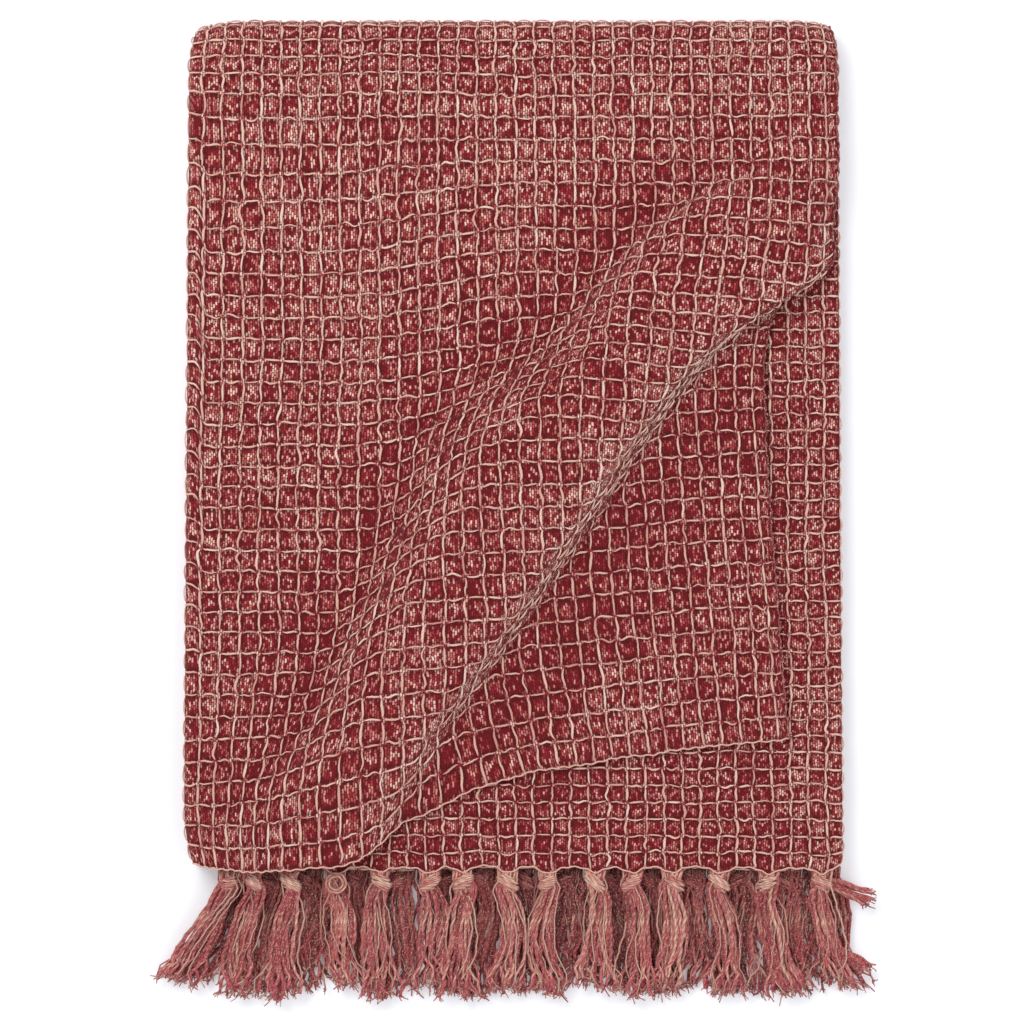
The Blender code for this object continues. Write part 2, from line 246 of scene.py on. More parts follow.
def drawnUp(x, y):
    # where points of the wide flap lie once it is drawn up: looks up shift, height and share
    place = np.stack((x, y), axis=-1) - roll["start"]
    r, q = place @ roll["along"], place @ roll["across"]
    row = np.clip((r - rollAlong[0]) / (rollAlong[1] - rollAlong[0]), 0, len(rollAlong) - 1.001)
    column = (q - rollAcross[0]) / (rollAcross[1] - rollAcross[0])
    column = np.clip(column, 0, len(rollAcross) - 1.001)
    i, j = row.astype(int), column.astype(int)
    a, b = row - i, column - j
    near = rollValues[:, i, j] * (1 - b) + rollValues[:, i, j + 1] * b
    far = rollValues[:, i + 1, j] * (1 - b) + rollValues[:, i + 1, j + 1] * b
    shift, height, share = near * (1 - a) + far * a
    share = share * softStep((r - roll["slideStart"]) / roll["slideRise"])
    share = share * softStep((roll["slideEnd"] - r) / roll["slideFade"])
    r = r + share * (roll["slide"] - roll["turn"] * q)
    spot = roll["start"] + r[..., None] * roll["along"] + (q + shift)[..., None] * roll["across"]
    return spot[..., 0], spot[..., 1], height


def laidOut(x, y, z):
    # square stack to soft stack: rounds the corners, widens the hem and lets the height swell
    middle = (0.5 * (fold["left"] + fold["right"]), 0.5 * (fold["hem"] + fold["far"]))
    halfX, halfY = 0.5 * (fold["right"] - fold["left"]), 0.5 * (fold["far"] - fold["hem"])
    for sideX, sideY, radius in fold["corners"]:
        a = np.clip(((x - middle[0]) * sideX - halfX + radius) / radius, 0.0, 1.0)
        b = np.clip(((y - middle[1]) * sideY - halfY + radius) / radius, 0.0, 1.0)
        x = x + sideX * fold["cornerPull"] * radius * a * (np.sqrt(1.0 - 0.5 * b**2) - 1.0)
        y = y + sideY * fold["cornerPull"] * radius * b * (np.sqrt(1.0 - 0.5 * a**2) - 1.0)
    x = x * (1.0 + fold["hemSpread"] * (fold["far"] - y) / (fold["far"] - fold["hem"]))
    (rateX, rateY), (phaseX, phaseY) = fold["swellRates"], fold["swellPhases"]
    swell = fold["swell"] * (z - 0.5 * fold["sheet"])
    return x, y, z + swell * np.sin(rateX * x + phaseX) * np.sin(rateY * y + phaseY)


def foldedPlace(u, v):
    # flat cloth to folded stack: both side thirds over the middle, then the strip over the far
    # fold, then the roll on top of the wide flap
    turnRight = np.clip((u - uStarts[1]) / widths[1], 0.0, 1.0) * np.pi
    turnLeft = np.clip((u - uStarts[3]) / widths[3], 0.0, 1.0) * np.pi
    x = fold["narrowEdge"] + np.minimum(u, uStarts[1]) + 0.5 * fold["pitch"] * np.sin(turnRight)
    x = x - np.clip(u - uStarts[2], 0.0, widths[2]) - fold["pitch"] * np.sin(turnLeft)
    x = x + np.clip(u - uStarts[4], 0.0, None)
    rightDrop = fold["middlePly"] - fold["narrowPly"]
    leftRise = fold["widePly"] - fold["middlePly"]
    ply = fold["narrowPly"] + rightDrop * 0.5 * (1.0 - np.cos(turnRight))
    ply = ply + leftRise * 0.5 * (1.0 - np.cos(turnLeft))
    turn = np.clip((v - vStarts[1]) / lengths[1], 0.0, 1.0) * np.pi
    run = np.minimum(v, vStarts[1]) - np.clip(v - vStarts[2], 0.0, None)
    y = fold["hem"] + run + ply * fold["pitch"] * np.sin(turn)
    z = middleZ - ply * fold["pitch"] * np.cos(turn)
    onTop = (ply > fold["widePly"] - 1e-6) & (turn > np.pi - 1e-6)
    rolledX, rolledY, lift = drawnUp(x, y)
    x, y = np.where(onTop, rolledX, x), np.where(onTop, rolledY, y)
    return laidOut(x, y, z + np.where(onTop, lift, 0.0))


# Waffle cells: how their lines stray, and their pitch at distances from the fold they start from
weave = {
    "wander": 0.0016,  # slow drift of the cell lines
    "jitter": 0.0009,  # how far single crossings stray
    "depth": 0.0012,  # from the ridges to the floor of a cell
    "wideAcross": ((0.0, 0.4620, 0.4640), (0.0142, 0.0142, 0.0080)),
    "wideAlong": ((0.0, 0.030, 0.050, 0.070, 0.300), (0.0108, 0.0118, 0.0138, 0.0164, 0.0160)),
    "narrowAcross": ((0.0, 1.0), (0.0130, 0.0130)),
    "narrowAlong": ((0.0, 1.0), (0.0122, 0.0122)),
    "leftStretch": 0.016,  # the rows at the left are drawn this far towards the hem
    "stretchWide": (0.24, 0.14),  # distance from the left where that ends, and its fade
    "stretchGrows": (0.040, 0.10),  # distance from the far fold where it begins, and its rise
    "stretchFades": (0.16, 0.40),  # and where it wanes again
    "hemSqueeze": 0.024,  # the columns at the hem are drawn this far towards the left edge
    "squeezeGrows": 0.095,  # distance from the left over which that grows
    "squeezeFades": (0.10, 0.19),  # where it wanes, and over what run
    "squeezeDeep": 0.20,  # distance from the hem at which it has gone
    "scallopOut": 0.0025,  # the hem bulges this far between the knots
    "scallopIn": 0.0045,  # and is drawn in this far from there at each knot
    "scallopWide": 0.0075,
}
# knot x, lean of the tips, length of each tassel, from left to right
tassels = (
    (-0.205, -0.042, 0.076),
    (-0.189, -0.012, 0.084),
    (-0.162, -0.006, 0.088),
    (-0.128, 0.006, 0.082),
    (-0.096, -0.004, 0.088),
    (-0.060, 0.006, 0.084),
    (-0.036, -0.002, 0.090),
    (-0.003, 0.004, 0.084),
    (0.026, -0.004, 0.088),
    (0.061, 0.004, 0.080),
    (0.088, 0.004, 0.088),
    (0.117, -0.004, 0.082),
    (0.152, 0.004, 0.086),
    (0.187, 0.008, 0.088),
    (0.226, 0.010, 0.080),
)


def countedCells(key, reach):
    # running count of cells over a distance: the sum of step / pitch, scaled to end on a whole cell
    distances, pitches = weave[key]
    spots = np.linspace(0.0, reach, 2000)
    middles = 0.5 * (spots[1:] + spots[:-1])
    counts = np.cumsum(np.diff(spots) / np.interp(middles, distances, pitches))
    counts = np.concatenate(((0.0,), counts))
    return spots, counts * round(counts[-1]) / counts[-1]


farMiddle = vStarts[1] + 0.5 * lengths[1]
leftMiddle, rightMiddle = uStarts[3] + 0.5 * widths[3], uStarts[1] + 0.5 * widths[1]
reachAlong = flatLength - farMiddle
# Each chart of the weave: where its count begins across the cloth, which way it runs, and its
# counts across and along
patches = {
    "wide": (
        leftMiddle,
        1.0,
        countedCells("wideAcross", flatWidth - leftMiddle),
        countedCells("wideAlong", reachAlong),
    ),
    "narrow": (
        rightMiddle,
        -1.0,
        countedCells("narrowAcross", rightMiddle),
        countedCells("narrowAlong", reachAlong),
    ),
}


def cellsAt(patch, u, v):
    # cell numbers across and along, counted from the side fold and from the far fold
    middle, sense, across, along = patches[patch]
    du, dv = (u - middle) * sense, v - farMiddle
    a = np.sign(du) * np.interp(np.abs(du), *across)
    return a, np.sign(dv) * np.interp(np.abs(dv), *along)


def clothAt(patch, a, b):
    # the other way: flat cloth coordinates of the cell numbers
    middle, sense, across, along = patches[patch]
    du = np.sign(a) * np.interp(np.abs(a), across[1], across[0])
    dv = np.sign(b) * np.interp(np.abs(b), along[1], along[0])
    return middle + sense * du, farMiddle + dv


def pulled(u, v):
    # uneven tension of the wide flap: rows near its left fold stretched away from the far fold, and
    # columns near its hem squeezed towards the left
    fromLeft, fromFar, fromHem = u - uStarts[4], v - vStarts[2], flatLength - v
    onFlap = softStep(fromLeft / 0.010)
    (wide, wideFade), (begin, rise) = weave["stretchWide"], weave["stretchGrows"]
    (wane, waneRun), (ease, easeRun) = weave["stretchFades"], weave["squeezeFades"]
    leftness = onFlap * softStep((wide - fromLeft) / wideFade)
    stretch = softStep((fromFar - begin) / rise) - softStep((fromFar - wane) / waneRun)
    squeeze = np.clip(fromLeft / weave["squeezeGrows"], 0.0, 1.0)
    squeeze = squeeze * (1.0 - softStep((fromLeft - ease) / easeRun))
    squeeze = squeeze * softStep((weave["squeezeDeep"] - fromHem) / weave["squeezeDeep"])
    return -weave["hemSqueeze"] * onFlap * squeeze, weave["leftStretch"] * leftness * stretch


def tableNoise(x, y, spacing, seed):
    # smooth noise from -1 to 1: a table of random values, blended softly between its entries
    size = 128
    table = np.random.default_rng(seed).uniform(-1.0, 1.0, (size, size))
    i, j = np.floor(x / spacing).astype(int), np.floor(y / spacing).astype(int)
    s, t = softStep(x / spacing - i), softStep(y / spacing - j)
    i, j, i1, j1 = i % size, j % size, (i + 1) % size, (j + 1) % size
    low = table[i, j] * (1 - s) + table[i1, j] * s
    return low * (1 - t) + (table[i, j1] * (1 - s) + table[i1, j1] * s) * t


def cellTable(a, b, seed):
    # one random value from 0 to 1 for each whole cell
    size = 64
    table = np.random.default_rng(seed).uniform(0.0, 1.0, (size, size))
    return table[np.floor(a).astype(int) % size, np.floor(b).astype(int) % size]


def strayed(u, v, seed):
    # slow wander plus quick jitter, in metres
    slow, quick = tableNoise(u, v, 0.085, seed), tableNoise(u, v, 0.0155, seed + 1)
    return weave["wander"] * slow + weave["jitter"] * quick


def clothSurface(u, v):
    # middle surface of the cloth with its lines wandering, and the hem scalloped between knots
    pulledU, pulledV = pulled(u, v)
    x, y, z = foldedPlace(u + strayed(u, v, 11) + pulledU, v + strayed(u, v, 13) + pulledV)
    hemDistance = np.minimum(v, flatLength - v)
    fade = np.exp(-np.clip(hemDistance, 0.0, None) / 0.012) * softStep((uStarts[3] - u) / 0.02)
    pull = sum(np.exp(-(((x - knot) / weave["scallopWide"]) ** 2)) for knot, _, _ in tassels)
    y = y + fade * (weave["scallopOut"] - weave["scallopIn"] * pull)
    return np.stack((x, y, z), axis=-1)


# Painted light and shade in bands along the roll: painted shade before its foot and beyond its lip,
# and paler on the lip, partly the pale yarn crowded there and partly painted light: the line each is
# measured from, how far beyond that line it lies, its width, and how much paler it is
rollPaintedShading = (
    ("foot", -0.020, 0.022, -0.9),
    ("lip", 0.038, 0.028, -1.0),
    ("lip", -0.014, 0.014, 0.4),
    ("lip", -0.001, 0.007, 1.4),
)


def toneAndPaintedShading(points):
    # how much paler than usual the weave is, from where it lies: the roll's painted light and shade,
    # for each band amount * exp(-(distance / width) ** 2); paler far up at the left; plus slow noise
    columns = np.array(roll["sections"]).T
    place = points[..., :2] - roll["start"]
    r, q = place @ roll["along"], place @ roll["across"]
    foot, lip, tall = (np.interp(r, columns[0], columns[c]) for c in (1, 4, 3))
    rolled = tall / columns[3].max() * (points[..., 2] > middleZ + 2.0 * fold["pitch"])
    lines = {"foot": foot, "lip": lip}
    # painted light and shade along the roll, only where the cloth is raised into it
    shade = sum(
        amount * np.exp(-(((q - lines[line] - beyond) / width) ** 2))
        for line, beyond, width, amount in rollPaintedShading
    )
    far = softStep((0.10 - q + 0.6 * points[..., 1] - 0.20) / 0.30)
    blotch = tableNoise(points[..., 0] + 0.5, points[..., 1] + 0.5, 0.045, 61)
    return rolled * shade + 0.55 * far + 0.30 * blotch


def outwards(u, v, h):
    # cross product of the cloth's differences over 2 h along v and along u: points out of it, and
    # is as long as the area that they span
    east = clothSurface(u + h, v) - clothSurface(u - h, v)
    north = clothSurface(u, v + h) - clothSurface(u, v - h)
    return np.cross(north, east)


def clothPoint(u, v, lift):
    # the point at (u, v), lifted off the cloth along its outward normal, and that normal
    normal = outwards(u, v, 0.0012)
    normal /= np.linalg.norm(normal, axis=-1, keepdims=True) + 1e-12
    return clothSurface(u, v) + normal * np.asarray(lift)[..., None], normal


def crowding(u, v):
    # area of the cloth's surface over its flat area: 1 where it lies flat, little where drawn in
    h = 0.003
    return np.linalg.norm(outwards(u, v, h), axis=-1) / (4.0 * h * h)


def inScene(name, data):
    # a new object of this mesh, light or camera
    made = bpy.data.objects.new(name, data)
    bpy.context.scene.collection.objects.link(made)
    return made


def meshPiece(name, points, faces, uvs, attributes, material):
    # one object from whole arrays; uvs has a row for each face corner
    mesh = bpy.data.meshes.new(name)
    mesh.from_pydata(points.reshape(-1, 3).tolist(), [], faces)
    layer = mesh.uv_layers.new(name="weave")
    layer.data.foreach_set("uv", np.ascontiguousarray(uvs, np.float32).ravel())
    for key, values in attributes.items():
        attribute = mesh.attributes.new(key, "FLOAT", "POINT")
        attribute.data.foreach_set("value", np.ascontiguousarray(values, np.float32).ravel())
    mesh.polygons.foreach_set("use_smooth", np.ones(len(mesh.polygons), bool))
    mesh.materials.append(material)
    piece = inScene(name, mesh)
    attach(piece, "root")
    return piece


def tubes(name, centres, ups, wide, tall, tints, material, sides=6, reach=(0.0, 1.0)):
    # yarns: an ellipse of wide and tall radii carried along each row of centres, ends closed;
    # point = centre + side * wide * cos(angle) + up * tall * sin(angle)
    count, rings = centres.shape[:2]
    ahead = np.gradient(centres, axis=1)
    ahead /= np.linalg.norm(ahead, axis=-1, keepdims=True) + 1e-12
    side = np.cross(ahead, ups)
    side /= np.linalg.norm(side, axis=-1, keepdims=True) + 1e-12
    up = np.cross(side, ahead)[:, :, None]
    side = side[:, :, None]
    angle = (np.arange(sides) * 2 * np.pi / sides)[:, None]
    wide = np.broadcast_to(wide, (count, rings))[..., None, None]
    tall = np.broadcast_to(tall, (count, rings))[..., None, None]
    points = centres[:, :, None] + side * wide * np.cos(angle) + up * tall * np.sin(angle)
    number = np.arange(count * rings * sides).reshape(count, rings, sides)
    nextSide = np.roll(number, -1, axis=2)
    quads = (number[:, :-1], nextSide[:, :-1], nextSide[:, 1:], number[:, 1:])
    quads = np.stack(quads, axis=-1).reshape(-1, 4)[:, ::-1]
    capStart, capEnd = number[:, 0], number[:, -1, ::-1]
    step = np.linalg.norm(np.diff(centres, axis=1), axis=-1)
    run = np.concatenate((np.zeros((count, 1)), np.cumsum(step, axis=1)), axis=1)
    around = np.broadcast_to(np.arange(sides) / sides, (count, rings - 1, sides))
    low, high = (np.broadcast_to(r[..., None], around.shape) for r in (run[:, :-1], run[:, 1:]))
    near, far = around, around + 1.0 / sides
    quadUvs = np.stack((near, high, far, high, far, low, near, low), axis=-1).reshape(-1, 2)
    uvs = np.concatenate((quadUvs, np.zeros((2 * count * sides, 2))))
    faces = quads.tolist() + capStart.tolist() + capEnd.tolist()
    share = np.broadcast_to(np.linspace(*reach, rings)[None, :, None], (count, rings, sides))
    tint = np.broadcast_to(np.asarray(tints)[:, None, None], (count, rings, sides))
    return meshPiece(name, points, faces, uvs, {"tint": tint, "along": share}, material)


def linearColour(red, green, blue):
    # display values 0 to 255 to the linear values that a shader takes
    value = np.array((red, green, blue)) / 255.0
    value = np.where(value <= 0.04045, value / 12.92, ((value + 0.055) / 1.055) ** 2.4)
    return (*value.tolist(), 1.0)


class Wiring:
    # short ways to add and join the nodes of one material
    def __init__(self, name, roughness, sheen):
        self.material = bpy.data.materials.new(name)
        self.material.use_nodes = True
        self.tree = self.material.node_tree
        self.shader = self.tree.nodes["Principled BSDF"]
        self.shader.inputs["Roughness"].default_value = roughness
        self.shader.inputs["Specular IOR Level"].default_value = 0.25
        self.shader.inputs["Sheen Weight"].default_value = sheen
        self.shader.inputs["Sheen Roughness"].default_value = 0.5
        self.shader.inputs["Sheen Tint"].default_value = linearColour(255, 200, 190)

    def node(self, kind, **settings):
        made = self.tree.nodes.new(kind)
        for key, value in settings.items():
            setattr(made, key, value)
        return made

    def put(self, socket, value):
        if isinstance(value, bpy.types.NodeSocket):
            self.tree.links.new(value, socket)
        else:
            socket.default_value = value

    def calc(self, operation, *values):
        made = self.node("ShaderNodeMath", operation=operation)
        for socket, value in zip(made.inputs, values):
            self.put(socket, value)
        return made.outputs[0]

    def times(self, first, second):
        return self.calc("MULTIPLY", first, second)

    def plus(self, first, second):
        return self.calc("ADD", first, second)

    def minus(self, first, second):
        return self.calc("SUBTRACT", first, second)

    def fromHalf(self, value):
        # distance of its fraction from a half: 0 in the middle of a step, 0.5 at its ends
        return self.calc("ABSOLUTE", self.minus(self.calc("FRACT", value), 0.5))

    def rise(self, value, low, high):
        # 0 at low, 1 at high and a smooth S between them, where low may be the larger
        made = self.node("ShaderNodeMapRange", interpolation_type="SMOOTHSTEP")
        self.put(made.inputs[0], value)
        made.inputs[1].default_value, made.inputs[2].default_value = low, high
        return made.outputs[0]

    def mix(self, share, first, second):
        made = self.node("ShaderNodeMix", data_type="RGBA")
        self.put(made.inputs[0], share)
        self.put(made.inputs[6], first)
        self.put(made.inputs[7], second)
        return made.outputs[2]

    def ramp(self, value, pairs):
        made = self.node("ShaderNodeValToRGB")
        while len(made.color_ramp.elements) < len(pairs):
            made.color_ramp.elements.new(0.5)
        for element, (place, colour) in zip(made.color_ramp.elements, pairs):
            element.position, element.color = place, colour
        self.put(made.inputs[0], value)
        return made.outputs[0]

    def random(self, x, y):
        joined = self.node("ShaderNodeCombineXYZ")
        self.put(joined.inputs[0], x)
        self.put(joined.inputs[1], y)
        made = self.node("ShaderNodeTexWhiteNoise", noise_dimensions="2D")
        self.tree.links.new(joined.outputs[0], made.inputs["Vector"])
        return made.outputs["Value"]

    def noise(self, scale, detail=2.0):
        made = self.node("ShaderNodeTexNoise")
        made.inputs["Scale"].default_value = scale
        made.inputs["Detail"].default_value = detail
        place = self.node("ShaderNodeTexCoord").outputs["Object"]
        self.tree.links.new(place, made.inputs["Vector"])
        return made.outputs["Fac"]

    def attribute(self, name):
        return self.node("ShaderNodeAttribute", attribute_name=name).outputs["Fac"]

    def uv(self):
        split = self.node("ShaderNodeSeparateXYZ")
        chart = self.node("ShaderNodeUVMap", uv_map="weave")
        self.tree.links.new(chart.outputs[0], split.inputs[0])
        return split.outputs[0], split.outputs[1]

    def bump(self, height, distance, strength):
        made = self.node("ShaderNodeBump")
        made.inputs["Strength"].default_value = strength
        made.inputs["Distance"].default_value = distance
        self.tree.links.new(height, made.inputs["Height"])
        self.tree.links.new(made.outputs[0], self.shader.inputs["Normal"])


weaveLook = {
    "columns": 8.0,  # dashes across one cell
    "rows": 5.0,  # and along it
    # ground between the dashes: red of the cloth darkened with painted shade between the yarns
    "shadedGaps": ((56, 4, 8), (112, 14, 22)),
    "dashes": ((116, 14, 24), (152, 34, 44), (184, 88, 84), (212, 138, 128), (242, 196, 178)),
    "places": (0.18, 0.40, 0.61, 0.82, 1.08),
    "line": (234, 190, 172),
}
floatLook = ((208, 146, 134), (228, 178, 160), (242, 202, 182), (250, 224, 206))
# its darkest stop takes the lower comb's painted shade
fringeLook = (
    *((88, 32, 36), (158, 60, 66), (188, 98, 98), (206, 128, 120)),
    *((226, 174, 154), (240, 204, 180)),
)
fringePlaces = (0.0, 0.22, 0.45, 0.64, 0.82, 1.0)


def stops(places, colours):
    # pairs of a place and a colour for a ramp
    return [(place, linearColour(*colour)) for place, colour in zip(places, colours)]


def waffleCotton():
    # plain weave inside each cell: columns of short upright dashes, one column in two half a row
    # further on, each with a shade of its own; brighter in the middle of a cell and where the lines
    # cross; painted shadow beside the lines; the dark ground between the dashes is red darkened with
    # painted shade between the yarns
    w = Wiring("waffleCotton", 0.92, 0.2)
    a, b = w.uv()
    strayA = w.times(w.minus(w.noise(160.0), 0.5), 0.16)
    strayB = w.times(w.minus(w.noise(210.0, 1.0), 0.5), 0.22)
    strayedA, strayedB = w.plus(a, strayA), w.plus(b, strayB)
    column = w.times(strayedA, weaveLook["columns"])
    i = w.calc("FLOOR", column)
    half = w.times(w.calc("FLOORED_MODULO", i, 2.0), 0.5)
    row = w.plus(w.times(strayedB, weaveLook["rows"]), half)
    j = w.calc("FLOOR", row)
    acrossDash = w.fromHalf(column)
    alongDash = w.fromHalf(row)
    body = w.times(w.rise(acrossDash, 0.48, 0.22), w.rise(alongDash, 0.52, 0.30))
    edgeA = w.fromHalf(w.plus(a, 0.5))
    edgeB = w.fromHalf(w.plus(b, 0.5))
    nearest = w.calc("MINIMUM", edgeA, edgeB)
    middle = w.rise(nearest, 0.30, 0.48)
    crossing = w.rise(w.calc("MAXIMUM", edgeA, edgeB), 0.20, 0.08)
    # painted shadow in a narrow band beside the raised lines
    paintedLineShadow = w.times(w.rise(nearest, 0.02, 0.08), w.rise(nearest, 0.24, 0.12))
    cellShade = w.random(w.calc("FLOOR", a), w.calc("FLOOR", b))
    shown = w.plus(w.random(i, j), w.times(middle, 0.22))
    shown = w.plus(shown, w.times(crossing, 0.40))
    shown = w.plus(shown, w.times(w.minus(cellShade, 0.5), 0.24))
    # the paler attribute: tone of the cloth plus its painted light and shade
    shown = w.plus(shown, w.times(w.attribute("paler"), 0.20))
    shown = w.minus(shown, w.times(paintedLineShadow, 0.10))
    places = [0.8 * place for place in weaveLook["places"]]
    dashColour = w.ramp(w.times(shown, 0.8), stops(places, weaveLook["dashes"]))
    # the ground between the dashes, red with painted shade between the yarns
    shadedGround = w.mix(w.noise(330.0), *(linearColour(*c) for c in weaveLook["shadedGaps"]))
    colour = w.mix(body, shadedGround, dashColour)
    # the painted shadow's colour beside the lines
    colour = w.mix(w.times(paintedLineShadow, 0.50), colour, linearColour(54, 12, 12))
    warpLine = w.times(w.rise(edgeA, 0.075, 0.045), w.rise(edgeB, 0.06, 0.12))
    weftLine = w.times(w.rise(edgeB, 0.060, 0.035), w.rise(edgeA, 0.10, 0.16))
    line = w.times(w.calc("MAXIMUM", warpLine, weftLine), w.attribute("painted"))
    colour = w.mix(line, colour, linearColour(*weaveLook["line"]))
    w.put(w.shader.inputs["Base Color"], colour)
    w.bump(w.plus(w.times(body, 0.6), line), 0.0006, 0.9)
    return w.material


def woundStripes(w, turns, pitch):
    # stripes wound round a yarn: sine of turns * share of the way round + run / pitch
    around, run = w.uv()
    angle = w.plus(w.times(around, turns), w.times(run, 1.0 / pitch))
    return w.calc("SINE", w.times(angle, 6.2832))


def floatYarn():
    # pale two-ply yarn with faint stripes, darker in painted shade between the plies, each float a
    # shade of its own
    w = Wiring("paleFloatYarn", 0.85, 0.2)
    ply = w.rise(woundStripes(w, 2.0, 0.0026), -0.9, 0.2)
    tone = w.ramp(w.attribute("tint"), stops((0.0, 0.35, 0.75, 1.0), floatLook))
    fuzz = w.mix(w.times(w.noise(700.0), 0.45), tone, linearColour(196, 120, 110))
    # painted shade in the grooves between the plies
    plyGrooveShade = w.times(w.minus(1.0, ply), 0.25)
    w.put(w.shader.inputs["Base Color"], w.mix(plyGrooveShade, fuzz, linearColour(160, 88, 82)))
    w.bump(ply, 0.0003, 0.7)
    return w.material


def fringeYarn():
    # loosely twisted strands of pink-red and beige, flecked, redder towards the cut ends, and darker in
    # painted shade between the plies
    w = Wiring("fringeYarn", 0.9, 0.25)
    ply = w.rise(woundStripes(w, 2.0, 0.0060), -1.0, 0.2)
    thread = w.rise(woundStripes(w, 1.0, 0.0400), 0.70, 0.98)
    tint = w.attribute("tint")
    tone = w.ramp(tint, stops(fringePlaces, fringeLook))
    endShare = w.rise(w.attribute("along"), 0.80, 1.0)
    fromMiddle = w.calc("ABSOLUTE", w.minus(tint, 0.4))
    endShare = w.times(endShare, w.rise(fromMiddle, 0.45, 0.1))
    tone = w.mix(w.times(endShare, 0.6), tone, linearColour(214, 84, 102))
    fleck = w.rise(w.noise(900.0, 1.0), 0.54, 0.62)
    tone = w.mix(w.times(fleck, 0.70), tone, linearColour(226, 178, 158))
    tone = w.mix(w.times(w.noise(420.0), 0.40), tone, linearColour(150, 70, 72))
    pale = w.times(thread, w.rise(tint, 0.10, 0.60))
    tone = w.mix(w.times(pale, 0.75), tone, linearColour(232, 186, 162))
    # painted shade in the grooves between the plies
    plyGrooveShade = w.times(w.minus(1.0, ply), 0.42)
    w.put(w.shader.inputs["Base Color"], w.mix(plyGrooveShade, tone, linearColour(112, 40, 46)))
    w.bump(ply, 0.0006, 0.9)
    return w.material


def plainFloor():
    # pale floor with hardly any variation and a faint glow of its own, so that it stays pale
    # right up to the throw
    w = Wiring("plainFloor", 0.95, 0.0)
    colour = w.mix(w.noise(3.0), linearColour(243, 244, 247), linearColour(246, 247, 250))
    w.put(w.shader.inputs["Base Color"], colour)
    w.shader.inputs["Emission Color"].default_value = (1.0, 1.0, 1.0, 1.0)
    w.shader.inputs["Emission Strength"].default_value = 0.16
    return w.material


clothMaterial, floatMaterial, fringeMaterial = waffleCotton(), floatYarn(), fringeYarn()
print("materials made")

# The woven panel: grid cells over each width and each length of the fold, how much paler the narrow
# flap's reverse face is at its side fold, and the painted shade on the rest of it, seen along its hem
panel = {
    "acrossCells": (116, 6, 10, 8, 165),
    "alongCells": (76, 14, 190),
    "reversePaler": 0.30,
    "paintedShadeNearHem": -0.55,
}


def gridLines(starts, cells):
    # even grid lines within each section of the cloth
    parts = [np.linspace(s, e, n, endpoint=False) for s, e, n in zip(starts, starts[1:], cells)]
    return np.concatenate(parts + [starts[-1:]])


def cellRelief(a, b):
    # height over the middle surface: zero on the lines, down to the cell's own depth inside
    edgeA, edgeB = np.abs(a - np.round(a)), np.abs(b - np.round(b))
    bowl = softStep(edgeA / 0.26) * softStep(edgeB / 0.26)
    depth = weave["depth"] * (0.7 + 0.6 * cellTable(a, b, 21))
    return -depth * bowl


def wovenPanel():
    # the whole cloth as one grid; relief only where it can be seen; charted in cell numbers, the
    # middle ply from the left fold, because the count from the right one ends with the narrow flap
    uLines = gridLines(uStarts, panel["acrossCells"])
    u, v = np.meshgrid(uLines, gridLines(vStarts, panel["alongCells"]))
    wideA, wideB = cellsAt("wide", u, v)
    narrowA, narrowB = cellsAt("narrow", u, v)
    relief = np.where(u >= uStarts[3], cellRelief(wideA, wideB), cellRelief(narrowA, narrowB))
    inside = (v < vStarts[1]) | ((u > uStarts[2]) & (u < uStarts[3]))
    points, _ = clothPoint(u, v, np.where(inside, 0.0, relief))
    number = np.arange(u.size).reshape(u.shape)
    quads = np.stack((number[:-1, :-1], number[1:, :-1], number[1:, 1:], number[:-1, 1:]), axis=-1)
    faceWide = (uLines[:-1] >= uStarts[2] - 1e-9)[None, :, None]
    a = np.where(faceWide, wideA.ravel()[quads], narrowA.ravel()[quads])
    b = np.where(faceWide, wideB.ravel()[quads], narrowB.ravel()[quads])
    lower = softStep((vStarts[1] - v) / 0.01)
    leftBand = (u > uStarts[3]) & (u < uStarts[4] + 0.004)
    foldBand = leftBand | ((u > uStarts[1]) & (u < uStarts[2]))
    middle = (u > uStarts[2]) & (u < uStarts[3])
    painted = np.where(foldBand, 0.0, np.where(middle, 1.0, lower))
    uvs = np.stack((a, b), axis=-1).reshape(-1, 2)
    faces = quads.reshape(-1, 4).tolist()
    # narrow flap: reverse face paler at the side strip, painted shade where it shows below the wide flap's
    # hem
    atSide = softStep((points[..., 0] - 0.17) / 0.04)
    reverseToneAndShade = panel["reversePaler"] * atSide + panel["paintedShadeNearHem"] * (1.0 - atSide)
    paler = toneAndPaintedShading(points) + reverseToneAndShade * (u < uStarts[2])
    attributes = {"painted": painted, "paler": paler}
    return meshPiece("wovenPanel", points, faces, uvs, attributes, clothMaterial)


cloth = wovenPanel()
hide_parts("throw_panel")
print("panel woven:", len(cloth.data.polygons), "faces")

# The pale floats along the sides of the cells
floats = {
    "rings": 8,
    "warpGap": 0.075,  # share of a cell left open at each end
    "weftGap": 0.12,
    "warpWide": 0.00092,
    "weftWide": 0.00074,
    "tall": 0.00062,
    "rise": 0.0009,
    "sunk": 0.0004,
    "bow": 0.055,
    "bend": 0.026,  # a small S in each float
    "offset": 0.032,  # how far a float lies beside its line
    "buried": (0.10, 0.45),  # share of warp and weft floats that vanish where the cloth is drawn in
    "rightOf": 0.160,  # the narrow flap shows to the right of this,
    "nearerThan": -0.135,  # nearer than this
    "atFarFold": 0.012,  # and within this distance of the far fold
}


